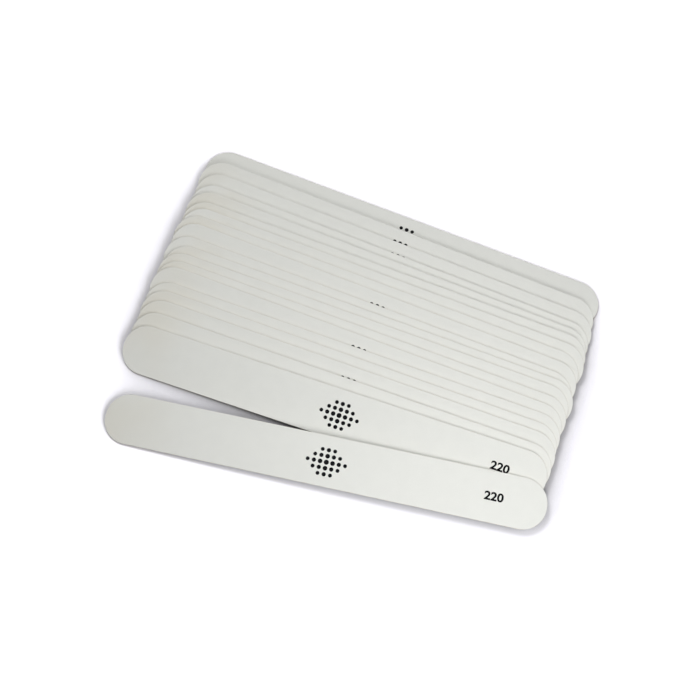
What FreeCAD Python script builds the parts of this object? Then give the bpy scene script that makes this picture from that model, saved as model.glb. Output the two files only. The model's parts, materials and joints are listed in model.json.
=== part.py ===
import FreeCAD, Part
import math
import os
from FreeCAD import Placement, Rotation, Vector

# A set of loose emery boards on a table. Most are fanned out, each leaning on the one behind it, and
# a single one lies across the front of the fan. Every board is a wood core between two abrasive sheets.
# X runs along the boards, Y towards the back of the fan and Z up from the table.
along = Vector(1, 0, 0)
across = Vector(0, 1, 0)
up = Vector(0, 0, 1)

# One board, in millimetres
length = 178.0
width = 20.0
end_flat = 0.5           # straight stretch in the middle of an end, between its round corners
core_thickness = 0.5
sheet_thickness = 0.15   # abrasive paper with its glue, on each face of the core

# How the boards lie, in millimetres and degrees
gap = 0.08               # air between a board and the one that it lies on
back_slip = -1.5         # the back board lies flat: its place along X
back_turn = -1.0         # and its turn on the table
first_lean = 6.5         # lean of the board in front of it, with its back edge up
lean_gain = 1.5          # how much more each board after that leans
full_lean = 13.0         # until they all lean alike

# The boards of the fan in front of the back one:
# the step in front of the board behind, the place along X, and the turn in the board's own plane
fan = [
    (7.5, -1.5, -1.5),
    (6.0, -0.5, -1.5),
    (5.5, -0.5, -1.25),
    (3.5, -0.5, -1.0),
    (4.0, 0.0, -0.25),
    (3.5, 0.5, -0.5),
    (4.0, -0.5, -0.5),
    (4.0, 0.0, -0.75),
    (5.5, -0.5, -0.25),
    (3.5, 1.0, 0.25),
    (3.5, 0.0, 0.5),
    (4.0, 0.5, 0.25),
    (3.5, 0.0, 0.0),
    (5.5, 0.5, 1.0),
    (4.0, 0.5, 1.0),
    (4.0, 1.0, 1.25),
    (5.5, 1.0, 1.5),
    (5.0, 0.5, 2.5),
]

# The single board
single_step = 19.5       # its middle in front of the last board's middle
single_slip = 5.0        # its place along X
single_turn = 9.0        # its turn on the table
single_roll = 6.5        # tilt about its length, with its back edge up on the fan
single_pitch = 0.85      # tilt about its width, with its right end up
single_bow = 1.2         # rise of its middle above its ends

thickness = core_thickness + 2 * sheet_thickness
corner_radius = (width - end_flat) / 2

# The pieces of a board, from its bottom face up
layers = [
    ("lower_sheet", 0, sheet_thickness),
    ("core", sheet_thickness, sheet_thickness + core_thickness),
    ("upper_sheet", sheet_thickness + core_thickness, thickness),
]


def blank(bottom, top):
    """A prism of the board's outline between two heights over its bottom face."""
    corner = Vector(-length / 2, -width / 2, bottom)
    block = Part.makeBox(length, width, top - bottom, corner)
    upright = [edge for edge in block.Edges if edge.BoundBox.ZLength > (top - bottom) / 2]
    return block.makeFillet(corner_radius, upright)


def bowed(bottom, top, bow):
    """The same layer of a board whose middle rises over its ends in one long arc."""
    radius = ((length / 2) ** 2 + bow ** 2) / (2 * bow)
    axis_end = Vector(0, -width / 2, bow - radius)
    outer = Part.makeCylinder(radius + top, width, axis_end, across)
    inner = Part.makeCylinder(radius + bottom, width, axis_end, across)
    tall = blank(-thickness, bow + 2 * thickness)
    return tall.common(outer.cut(inner)).Solids[0]


def reach(rotation, direction):
    """How far a turned board's outline reaches from its middle along a direction."""
    lengthwise = abs(rotation.multVec(along).dot(direction))
    crosswise = abs(rotation.multVec(across).dot(direction))
    straight = (length / 2 - corner_radius) * lengthwise + (width / 2 - corner_radius) * crosswise
    return straight + corner_radius * math.hypot(lengthwise, crosswise)


def height_at(level, normal, x, y):
    """Height at x, y of the plane with this normal at this distance from the origin."""
    return (level - x * normal.x - y * normal.y) / normal.z


def fan_places():
    """The back board on the table, then each board on the one behind it or down on the table."""
    places = [Placement(Vector(back_slip, 0, 0), Rotation(up, back_turn))]
    y = 0
    lean = first_lean
    for step, slip, turn in fan:
        behind = places[-1]
        y = y - step
        rotation = Rotation(along, lean) * Rotation(up, turn)
        normal = rotation.multVec(up)
        behind_normal = behind.Rotation.multVec(up)
        behind_top = behind.Base + behind_normal * thickness
        level = behind_top.dot(normal) + reach(behind.Rotation, normal) + gap
        height = max(reach(rotation, up), height_at(level, normal, slip, y))
        places.append(Placement(Vector(slip, y, height), rotation))
        lean = min(full_lean, lean + lean_gain)
    return places


def single_place(last):
    """The single board, with one front corner down and the far back corner on the fan's last board."""
    rotation = Rotation(up, single_turn) * Rotation(across, -single_pitch) * Rotation(along, single_roll)
    y = last.Base.y - single_step
    normal = last.Rotation.multVec(up)
    level = last.Base.dot(normal) + thickness + gap + reach(rotation, normal)
    on_table = reach(rotation, up)
    on_board = height_at(level, normal, single_slip, y)
    print("single board: %.2f mm up for the table, %.2f mm for the fan" % (on_table, on_board))
    return Placement(Vector(single_slip, y, max(on_table, on_board)), rotation)


def board(number, place, bow):
    """The three pieces of a board, by node name, where they lie."""
    pieces = {}
    for name, bottom, top in layers:
        piece = bowed(bottom, top, bow) if bow else blank(bottom, top)
        piece.Placement = place
        pieces["board_%02d_%s" % (number, name)] = piece
    return pieces


places = fan_places()
pieces = {}
for number, place in enumerate(places, start=1):
    lowest = place.Base.z - reach(place.Rotation, up)
    print("board %02d: front edge %.2f mm above the table" % (number, lowest))
    pieces.update(board(number, place, 0))
pieces.update(board(len(places) + 1, single_place(places[-1]), single_bow))

# The origin goes to the middle of the whole set, on the table
box = Part.makeCompound(list(pieces.values())).optimalBoundingBox(False, False)
to_middle = Vector(-box.Center.x, -box.Center.y, 0)
print("set: %.2f x %.2f x %.2f mm, lowest point %.3f" % (box.XLength, box.YLength, box.ZLength, box.ZMin))
print("back board's middle at %.3f, %.3f" % (back_slip + to_middle.x, to_middle.y))

os.makedirs("parts", exist_ok=True)
for node, piece in pieces.items():
    piece.translate(to_middle)
    piece.exportStep("parts/%s.step" % node)
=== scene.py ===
import bmesh
import bpy
import json
import math
import random
import numpy as np
from mathutils import Matrix, Vector

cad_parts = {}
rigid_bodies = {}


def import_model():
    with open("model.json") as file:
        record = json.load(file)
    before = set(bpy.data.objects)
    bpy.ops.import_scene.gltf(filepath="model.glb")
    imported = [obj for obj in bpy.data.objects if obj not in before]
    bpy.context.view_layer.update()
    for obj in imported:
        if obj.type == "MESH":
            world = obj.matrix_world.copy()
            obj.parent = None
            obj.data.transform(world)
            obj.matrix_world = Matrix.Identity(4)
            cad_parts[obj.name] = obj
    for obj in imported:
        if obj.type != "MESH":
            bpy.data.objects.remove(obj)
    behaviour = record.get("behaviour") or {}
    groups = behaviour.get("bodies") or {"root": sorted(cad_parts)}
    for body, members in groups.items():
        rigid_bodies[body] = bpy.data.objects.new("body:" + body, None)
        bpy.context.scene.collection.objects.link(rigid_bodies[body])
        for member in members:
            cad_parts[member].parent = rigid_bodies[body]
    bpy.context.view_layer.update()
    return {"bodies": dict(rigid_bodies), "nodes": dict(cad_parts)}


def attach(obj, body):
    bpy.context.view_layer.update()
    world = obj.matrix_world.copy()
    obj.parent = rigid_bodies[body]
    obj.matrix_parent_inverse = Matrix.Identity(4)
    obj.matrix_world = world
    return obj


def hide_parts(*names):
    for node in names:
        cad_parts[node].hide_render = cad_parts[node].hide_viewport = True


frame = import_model()
mm = 0.001
boardNames = sorted(frame["bodies"])
print("frame:", len(boardNames), "boards,", len(frame["nodes"]), "CAD pieces")

scene = bpy.context.scene
scene.view_settings.view_transform = "Standard"


# A socket of a node tree, so that shader maths reads as plain Python
class Wire:
    def __init__(self, tree, socket=None):
        self.tree = tree
        self.socket = socket

    # one new node: its settings first, then its sockets' values or links, by name or number
    def node(self, kind, settings={}, inputs={}, out=0):
        made = self.tree.nodes.new(kind)
        for name, value in settings.items():
            setattr(made, name, value)
        for name, value in inputs.items():
            if isinstance(value, Wire):
                self.tree.links.new(value.socket, made.inputs[name])
            else:
                made.inputs[name].default_value = value
        return Wire(self.tree, made.outputs[out] if made.outputs else None)

    def maths(self, operation, *values):
        return self.node("ShaderNodeMath", {"operation": operation}, dict(enumerate(values)))

    def vector(self, operation, *values, out=0):
        return self.node("ShaderNodeVectorMath", {"operation": operation}, dict(enumerate(values)), out)

    def __add__(self, other):
        return self.maths("ADD", self, other)

    def __radd__(self, other):
        return self.maths("ADD", other, self)

    def __rsub__(self, other):
        return self.maths("SUBTRACT", other, self)

    def __mul__(self, other):
        return self.maths("MULTIPLY", self, other)

    def __rmul__(self, other):
        return self.maths("MULTIPLY", other, self)

    def __truediv__(self, other):
        return self.maths("DIVIDE", self, other)

    def __rtruediv__(self, other):
        return self.maths("DIVIDE", other, self)

    # 0 below low, 1 above high, smooth between
    def step(self, low, high):
        settings = {"interpolation_type": "SMOOTHSTEP"}
        return self.node("ShaderNodeMapRange", settings, {0: self, 1: low, 2: high, 3: 0.0, 4: 1.0})

    # this wire is the second colour's share
    def mix(self, first, second):
        return self.node("ShaderNodeMix", {"data_type": "RGBA"}, {0: self, 6: first, 7: second}, out=2)

    # this wire is the place; size is the pattern's own, in metres
    def noise(self, size, detail):
        return self.node("ShaderNodeTexNoise", {}, {"Vector": self, "Scale": 1.0 / size, "Detail": detail})

    def bump(self, strength, height):
        inputs = {"Height": self, "Strength": strength, "Distance": height}
        return self.node("ShaderNodeBump", {}, inputs)


def newMaterial(name):
    material = bpy.data.materials.new(name)
    material.use_nodes = True
    material.node_tree.nodes.clear()
    return material, Wire(material.node_tree)


def giveSurface(tree, inputs):
    shader = tree.node("ShaderNodeBsdfPrincipled", {}, inputs)
    tree.node("ShaderNodeOutputMaterial", {}, {"Surface": shader})


def rgb(red, green, blue):
    return (red, green, blue, 1.0)


# Places and sizes of the boards, read from the CAD pieces

# a CAD piece's own axes (along, across, up), its middle, and how far it reaches on them
def readPiece(name):
    points = np.array([corner.co for corner in frame["nodes"][name].data.vertices])
    middle = points.mean(axis=0)
    found = np.linalg.svd(points - middle, full_matrices=False)[2]    # the longest way comes first
    along = Vector(found[0] * np.sign(found[0, 0]))
    up = Vector(found[2] * np.sign(found[2, 2]))
    axes = Matrix((along, up.cross(along), up))
    local = (points - middle) @ np.array(axes).T
    return axes, Vector(middle), Vector(local.min(axis=0)), Vector(local.max(axis=0))


def sizeOf(name):
    low, high = readPiece(name)[2:]
    return high - low


flatCore = sizeOf("board_01_core")
boardShape = dict(
    length=flatCore.x,
    width=flatCore.y,
    core=flatCore.z,
    sheet=sizeOf("board_01_upper_sheet").z,
    corner=9.75 * mm,         # radius of the four corners
    cornerSteps=14,
    rimRound=0.06 * mm,       # the die presses the paper's outer rim round
    rimSteps=3,
    rimWear=0.5 * mm,         # how far in from the rim the grit is rubbed
    coreInset=-0.025 * mm,    # the wood stands a hair out from the paper
    leastBow=0.05 * mm,       # a board that bows less than this is flat
    bowCuts=24,               # cross cuts in a bowed board
    grainApart=50.0 * mm,     # from one board's grain to the next one's
    smoothUpTo=math.radians(40),
)
thickness = boardShape["core"] + 2 * boardShape["sheet"]


# where a board lies, as a matrix from its bottom face's middle, and how far its middle bows up
def readBoard(name):
    axes, middle, low, high = readPiece(name + "_core")
    foot = (low + high) / 2
    foot.z = low.z - boardShape["sheet"]
    turn = axes.transposed()
    place = Matrix.Translation(middle + turn @ foot) @ turn.to_4x4()
    bow = high.z - low.z - boardShape["core"]
    return place, bow if bow > boardShape["leastBow"] else 0.0


# Materials

# a point's place on its own flat board, moved apart so that no two boards have the same grain
def boardPlace(tree):
    return tree.node("ShaderNodeAttribute", {"attribute_name": "boardPlace"}, out=1)


paperLook = dict(
    pale=rgb(0.832, 0.840, 0.800),
    grey=rgb(0.772, 0.780, 0.742),
    aged=rgb(0.755, 0.738, 0.66),
    worn=rgb(0.85, 0.85, 0.82),
    grain=0.10 * mm,
    grainEdges=(0.35, 0.65),     # the noise levels where pale turns to grey
    grainShare=0.8,              # the rest of the grey is mottle
    cluster=0.24 * mm,           # clumps of grit, felt but not seen
    clusterShare=0.4,
    mottle=5.0 * mm,
    mottleEdges=(0.3, 0.7),
    cloud=30.0 * mm,             # patches of yellowed paper near the left end
    cloudEdges=(0.30, 0.65),
    agedEdges=(0.30, 0.50),      # from the board's middle, as shares of its length
    agedShare=0.75,
    wornShare=0.6,
    bumpStrength=0.5,
    bumpHeight=0.03 * mm,
    rough=0.88,
    gloss=0.25,
)


def abrasivePaper():
    look = paperLook
    material, tree = newMaterial("abrasivePaper")
    place = boardPlace(tree)
    grain = place.noise(look["grain"], 3.0)
    mottle = place.noise(look["mottle"], 3.0)
    cloud = place.noise(look["cloud"], 1.0)
    inputs = {"Vector": place, "Scale": 1.0 / look["cluster"]}
    cluster = tree.node("ShaderNodeTexVoronoi", {"feature": "F1"}, inputs)
    rim = tree.node("ShaderNodeAttribute", {"attribute_name": "rim"}, out=2)
    along = tree.node("ShaderNodeSeparateXYZ", {}, {0: place})
    leftEnd = (0.0 - along).step(*[edge * boardShape["length"] for edge in look["agedEdges"]])
    greyByGrain = look["grainShare"] * grain.step(*look["grainEdges"])
    greyByMottle = (1 - look["grainShare"]) * mottle.step(*look["mottleEdges"])
    coat = (greyByGrain + greyByMottle).mix(look["pale"], look["grey"])
    aged = (look["agedShare"] * leftEnd * cloud.step(*look["cloudEdges"])).mix(coat, look["aged"])
    colour = (look["wornShare"] * rim).mix(aged, look["worn"])
    height = (1 - look["clusterShare"]) * grain + look["clusterShare"] * cluster
    giveSurface(tree, {
        "Base Color": colour,
        "Roughness": look["rough"],
        "Specular IOR Level": look["gloss"],
        "Normal": height.bump(look["bumpStrength"], look["bumpHeight"]),
    })
    return material


woodLook = dict(
    light=rgb(0.66, 0.52, 0.35),
    dark=rgb(0.50, 0.37, 0.22),
    fibre=(8.0 * mm, 0.35 * mm, 0.12 * mm),   # a fibre's length, width and depth
    fibreEdges=(0.35, 0.68),
    bumpStrength=0.4,
    bumpHeight=0.02 * mm,
    rough=0.8,
    gloss=0.3,
)


def coreWood():
    look = woodLook
    material, tree = newMaterial("coreWood")
    fibre = tree.vector("DIVIDE", boardPlace(tree), look["fibre"])
    grain = fibre.noise(1.0, 3.0)    # one fibre is its unit here
    giveSurface(tree, {
        "Base Color": grain.step(*look["fibreEdges"]).mix(look["light"], look["dark"]),
        "Roughness": look["rough"],
        "Specular IOR Level": look["gloss"],
        "Normal": grain.bump(look["bumpStrength"], look["bumpHeight"]),
    })
    return material


inkLook = dict(
    black=rgb(0.004, 0.004, 0.005),
    thin=rgb(0.05, 0.05, 0.05),    # where a grain pokes through
    speck=0.16 * mm,
    speckEdges=(0.60, 0.75),
    rough=0.6,
    speckRough=0.3,                # how much rougher the specks are
    gloss=0.06,
)


def blackInk():
    look = inkLook
    material, tree = newMaterial("blackInk")
    specks = boardPlace(tree).noise(look["speck"], 2.0).step(*look["speckEdges"])
    giveSurface(tree, {
        "Base Color": specks.mix(look["black"], look["thin"]),
        "Roughness": look["rough"] + look["speckRough"] * specks,
        "Specular IOR Level": look["gloss"],
    })
    return material


paper = abrasivePaper()
wood = coreWood()
ink = blackInk()
print("materials: abrasive paper, core wood, black ink")


# Pieces of a board

# how far a point of the board's face is from its outline
def fromRim(point):
    reachX = abs(point.x) - boardShape["length"] / 2 + boardShape["corner"]
    reachY = abs(point.y) - boardShape["width"] / 2 + boardShape["corner"]
    outside = math.hypot(max(reachX, 0), max(reachY, 0))
    return boardShape["corner"] - outside - min(max(reachX, reachY), 0)


def bend(bm, bow):
    if not bow:
        return
    radius = ((boardShape["length"] / 2) ** 2 + bow ** 2) / (2 * bow)
    for corner in bm.verts:
        x, y, z = corner.co
        corner.co.z = math.sqrt((radius + z) ** 2 - x ** 2) - (radius - bow)


# keeps each corner's place on the flat board, bends the board and lays it where the CAD has it
def layDown(bm, number, place, bow):
    grainPlace = bm.verts.layers.float_vector.new("boardPlace")
    rim = bm.verts.layers.float.new("rim")
    boardApart = Vector((0, 0, boardShape["grainApart"] * number))
    for corner in bm.verts:
        corner[grainPlace] = corner.co + boardApart
        corner[rim] = max(0.0, 1 - fromRim(corner.co) / boardShape["rimWear"])
    bend(bm, bow)
    bmesh.ops.transform(bm, matrix=place, verts=bm.verts[:])


def crossCuts(bm, count):
    for cut in range(1, count):
        x = boardShape["length"] * (cut / count - 0.5)
        geom = bm.verts[:] + bm.edges[:] + bm.faces[:]
        bmesh.ops.bisect_plane(bm, geom=geom, plane_co=(x, 0, 0), plane_no=(1, 0, 0))


# makes a flat shape solid
def thicken(bm, height):
    raised = bmesh.ops.extrude_face_region(bm, geom=bm.faces[:])["geom"]
    corners = [item for item in raised if isinstance(item, bmesh.types.BMVert)]
    bmesh.ops.translate(bm, verts=corners, vec=(0, 0, height))
    bmesh.ops.recalc_face_normals(bm, faces=bm.faces[:])


# a layer of the board between two heights over its bottom face
def blank(bottom, top, inset, cuts):
    bm = bmesh.new()
    bmesh.ops.create_grid(bm, x_segments=1, y_segments=1, size=0.5)
    size = (boardShape["length"] - 2 * inset, boardShape["width"] - 2 * inset, 1)
    bmesh.ops.scale(bm, verts=bm.verts[:], vec=size)
    bmesh.ops.bevel(bm, geom=bm.verts[:], affect="VERTICES", offset=boardShape["corner"] - inset,
                    segments=boardShape["cornerSteps"], profile=0.5, material=-1)
    crossCuts(bm, cuts)
    bmesh.ops.translate(bm, verts=bm.verts[:], vec=(0, 0, bottom))
    thicken(bm, top - bottom)
    return bm


# rounds the sheet's rim at one height, and insets its face so that the wear there has an edge
def roundRim(bm, height):
    nearly = 1e-7
    sharp = math.radians(60)
    level = [edge for edge in bm.edges if all(abs(corner.co.z - height) < nearly for corner in edge.verts)]
    rim = [edge for edge in level if edge.calc_face_angle() > sharp]
    bmesh.ops.bevel(bm, geom=rim, affect="EDGES", offset=boardShape["rimRound"],
                    segments=boardShape["rimSteps"], profile=0.5, material=-1)
    face = [face for face in bm.faces if all(abs(corner.co.z - height) < nearly for corner in face.verts)]
    bmesh.ops.inset_region(bm, faces=face, thickness=boardShape["rimWear"], use_even_offset=True)


def newObject(bm, name, material):
    mesh = bpy.data.meshes.new(name)
    bm.to_mesh(mesh)
    bm.free()
    mesh.materials.append(material)
    made = bpy.data.objects.new(name, mesh)
    scene.collection.objects.link(made)
    return made


def makePiece(bm, name, board, material):
    piece = newObject(bm, name, material)
    piece.data.shade_smooth()
    piece.data.set_sharp_from_angle(angle=boardShape["smoothUpTo"])
    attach(piece, board)
    return piece


def makeBoard(number, board):
    place, bow = readBoard(board)
    sheet = boardShape["sheet"]
    layers = (
        ("lowerPaper", "lower_sheet", 0.0, sheet, 0.0),
        ("woodCore", "core", sheet, thickness - sheet, boardShape["coreInset"]),
        ("upperPaper", "upper_sheet", thickness - sheet, thickness, 0.0),
    )
    for name, node, bottom, top, inset in layers:
        bm = blank(bottom, top, inset, boardShape["bowCuts"] if bow else 0)
        if name != "woodCore":
            roundRim(bm, top if name == "upperPaper" else bottom)
        layDown(bm, number, place, bow)
        piece = makePiece(bm, "%s%02d" % (name, number), board, wood if name == "woodCore" else paper)
        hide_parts(board + "_" + node)


# Print: the grade number near the right end, and a plain lozenge of dots in the middle

printShape = dict(
    grade="220",
    numberAlong=68.4 * mm,       # from the board's middle to the number's
    numberAcross=0.2 * mm,
    numberSize=(7.6 * mm, 3.5 * mm),
    heavier=0.034,               # thickens the figures' strokes, as a share of their size
    markAlong=2.0 * mm,
    markAcross=-0.4 * mm,
    rows=(3, 5, 7, 5, 3),        # dots in each row of the lozenge
    rowStep=2.4 * mm,
    dotStep=2.5 * mm,
    dotRadius=1.0 * mm,          # the middle dot; the others shrink towards the lozenge's ends
    dotShrink=0.075,
    dotSides=18,
    film=0.010 * mm,
    slips={19: 2.0 * mm, 20: -0.2 * mm},    # the two prints that show whole
    slipRange=0.7 * mm,          # the other boards' prints sit a little off to either side
)


def figures(text):
    curve = bpy.data.curves.new("gradeNumber", "FONT")
    curve.body = text
    curve.offset = printShape["heavier"]
    holder = bpy.data.objects.new("gradeNumber", curve)
    mesh = bpy.data.meshes.new_from_object(holder)
    bm = bmesh.new()
    bm.from_mesh(mesh)
    bpy.data.objects.remove(holder)
    bpy.data.curves.remove(curve)
    bpy.data.meshes.remove(mesh)
    bmesh.ops.remove_doubles(bm, verts=bm.verts[:], dist=1e-5)
    low = Vector([min(corner.co[axis] for corner in bm.verts) for axis in range(3)])
    high = Vector([max(corner.co[axis] for corner in bm.verts) for axis in range(3)])
    width, height = printShape["numberSize"]
    bmesh.ops.translate(bm, verts=bm.verts[:], vec=-(low + high) / 2)
    bmesh.ops.scale(bm, verts=bm.verts[:], vec=(width / (high.x - low.x), height / (high.y - low.y), 1))
    place = (printShape["numberAlong"], printShape["numberAcross"], 0)
    bmesh.ops.translate(bm, verts=bm.verts[:], vec=place)
    return bm


def lozenge(bm):
    rows = printShape["rows"]
    for row, count in enumerate(rows):
        rowOff = row - (len(rows) - 1) / 2
        for dot in range(count):
            dotOff = dot - (count - 1) / 2
            radius = printShape["dotRadius"] * (1 - printShape["dotShrink"] * (abs(dotOff) + abs(rowOff)))
            x = printShape["markAlong"] + dotOff * printShape["dotStep"]
            y = printShape["markAcross"] - rowOff * printShape["rowStep"]
            bmesh.ops.create_circle(bm, cap_ends=True, segments=printShape["dotSides"], radius=radius,
                                    matrix=Matrix.Translation((x, y, 0)))


def makePrint(number, board, slip):
    place, bow = readBoard(board)
    bm = figures(printShape["grade"])
    lozenge(bm)
    bmesh.ops.translate(bm, verts=bm.verts[:], vec=(slip, 0, thickness))
    thicken(bm, printShape["film"])
    layDown(bm, number, place, bow)
    makePiece(bm, "print%02d" % number, board, ink)


shuffle = random.Random(20)
for number, board in enumerate(boardNames, start=1):
    makeBoard(number, board)
    spread = shuffle.uniform(-1, 1) * printShape["slipRange"]
    makePrint(number, board, printShape["slips"].get(number, spread))
print("pieces:", len(boardNames), "boards with their prints")


# Table, light and camera

# the way out from the boards, in degrees: azimuth 0 is the front, 90 the right
def outward(azimuth, elevation):
    turn = math.radians(azimuth)
    rise = math.radians(elevation)
    flat = math.cos(rise)
    return Vector((math.sin(turn) * flat, -math.cos(turn) * flat, math.sin(rise)))


lamps = dict(
    key=dict(place=0.25 * outward(40, 48), size=0.12, watts=0.27),
    side=dict(place=0.40 * outward(90, 50), size=0.18, watts=0.334),
    rear=dict(place=0.60 * outward(230, 60), size=0.18, watts=1.755),
)
skyLook = dict(strength=0.01, colour=rgb(0.98, 0.98, 1.0))


def makeLamp(name, place, size, watts):
    data = bpy.data.lights.new(name, "AREA")
    data.shape = "SQUARE"
    data.size = size
    data.energy = watts
    lamp = bpy.data.objects.new(name, data)
    lamp.location = place
    lamp.rotation_euler = place.to_track_quat("Z", "Y").to_euler()    # it faces the origin
    lamp.visible_camera = False
    scene.collection.objects.link(lamp)


def seenByEye(tree):
    kinds = ("Is Camera Ray", "Is Glossy Ray", "Is Transmission Ray")
    path = tree.tree.nodes.new("ShaderNodeLightPath")
    camera, glossy, through = [Wire(tree.tree, path.outputs[kind]) for kind in kinds]
    return tree.maths("MAXIMUM", tree.maths("MAXIMUM", camera, glossy), through)


# white where it is seen, and only a little light on the boards
def makeSky():
    look = skyLook
    sky = bpy.data.worlds.new("studio")
    sky.use_nodes = True
    sky.node_tree.nodes.clear()
    tree = Wire(sky.node_tree)
    soft = tree.node("ShaderNodeBackground", {}, {"Color": look["colour"], "Strength": look["strength"]})
    white = tree.node("ShaderNodeBackground", {}, {"Color": rgb(1, 1, 1), "Strength": 1.0})
    shader = tree.node("ShaderNodeMixShader", {}, {0: seenByEye(tree), 1: soft, 2: white})
    tree.node("ShaderNodeOutputWorld", {}, {"Surface": shader})
    scene.world = sky


tableShape = dict(
    size=4.0,
    under=0.02 * mm,             # a hair under the boards
    plain=rgb(0.85, 0.85, 0.85),
    shown=(1.008, 1.0, 1.057),   # its shadows look a little violet
    white=1.16,                  # how bright the bare table is shown
    mostGain=8.0,                # the most that its colour makes up for
    besideReach=8.0 * mm,        # how far the painted shade beside a board goes
    besidePower=0.6,
    betweenReach=40.0 * mm,      # how far apart two boards still get shade painted on the table between them
    betweenShade=1.85,
    shadeSamples=16,
    near=0.20,                   # from here to far from the boards, the table goes over to plain white
    far=0.40,
)


# how bright a lamp makes bare white table
def lampOnTable(tree, place, lamp):
    toLamp = tree.vector("SUBTRACT", lamp["place"], place)
    facing = tree.vector("DOT_PRODUCT", toLamp, lamp["place"].normalized(), out=1)
    square = tree.vector("DOT_PRODUCT", toLamp, toLamp, out=1)
    return facing * (lamp["watts"] * lamp["place"].z / math.pi ** 2) / (square * square)


# how open the table is to one side
def openTo(tree, way, reach):
    settings = {"samples": tableShape["shadeSamples"]}
    normal = tree.node("ShaderNodeCombineXYZ", {}, dict(enumerate(way)))
    return tree.node("ShaderNodeAmbientOcclusion", settings, {"Distance": reach, "Normal": normal}, out=1)


# shade painted into the table's colour: soft beside a board, and more of it between one in front and one
# behind
def paintedShade(tree):
    look = tableShape
    beside = tree.maths("POWER", openTo(tree, (0, 0, 1), look["besideReach"]), look["besidePower"])
    behind, before = [1 - openTo(tree, (0, side, 0), look["betweenReach"]) for side in (1, -1)]
    return beside * (1 - look["betweenShade"] * tree.maths("SQRT", behind * before))


# The camera sees the table evenly white: its colour makes up for the lamps' falloff,
# so only the boards' shadows, and shade painted into its colour beside and between them, darken it. Other
# light meets a plain white table.
def tableWhite():
    look = tableShape
    material, tree = newMaterial("tableWhite")
    place = tree.node("ShaderNodeTexCoord", {}, {}, out=3)
    bare = skyLook["strength"] + sum(lampOnTable(tree, place, lamp) for lamp in lamps.values())
    # painted shade darkens the table's colour beside and between the boards
    gain = tree.maths("MINIMUM", look["white"] / bare, look["mostGain"]) * paintedShade(tree)
    settings = {"operation": "SCALE"}
    colour = tree.node("ShaderNodeVectorMath", settings, {0: look["shown"], "Scale": gain})
    bright = tree.node("ShaderNodeBsdfDiffuse", {}, {"Color": colour})
    glow = tree.node("ShaderNodeEmission", {}, {"Strength": 1.0})
    away = tree.vector("LENGTH", place, out=1).step(look["near"], look["far"])
    shown = tree.node("ShaderNodeMixShader", {}, {0: away, 1: bright, 2: glow})
    plain = tree.node("ShaderNodeBsdfDiffuse", {}, {"Color": look["plain"]})
    shader = tree.node("ShaderNodeMixShader", {}, {0: seenByEye(tree), 1: plain, 2: shown})
    tree.node("ShaderNodeOutputMaterial", {}, {"Surface": shader})
    return material


def makeTable():
    bm = bmesh.new()
    bmesh.ops.create_grid(bm, x_segments=1, y_segments=1, size=tableShape["size"] / 2)
    bmesh.ops.translate(bm, verts=bm.verts[:], vec=(0, 0, -tableShape["under"]))
    table = newObject(bm, "table", tableWhite())


viewShape = dict(
    azimuth=21.38,
    elevation=72.19,
    distance=407.7 * mm,
    target=Vector((-2.78, 1.18, 3.0)) * mm,
    lens=51.51,
    sensor=36.0,
    nearest=10.0 * mm,
)


def makeCamera():
    look = viewShape
    data = bpy.data.cameras.new("camera")
    data.sensor_width = look["sensor"]
    data.lens = look["lens"]
    data.clip_start = look["nearest"]
    back = outward(look["azimuth"], look["elevation"])
    camera = bpy.data.objects.new("camera", data)
    camera.location = look["target"] + back * look["distance"]
    camera.rotation_euler = back.to_track_quat("Z", "Y").to_euler()
    scene.collection.objects.link(camera)
    scene.camera = camera


makeTable()
makeSky()
for name, lamp in lamps.items():
    makeLamp(name, **lamp)
makeCamera()
print("stage: table, sky, lamps, camera")
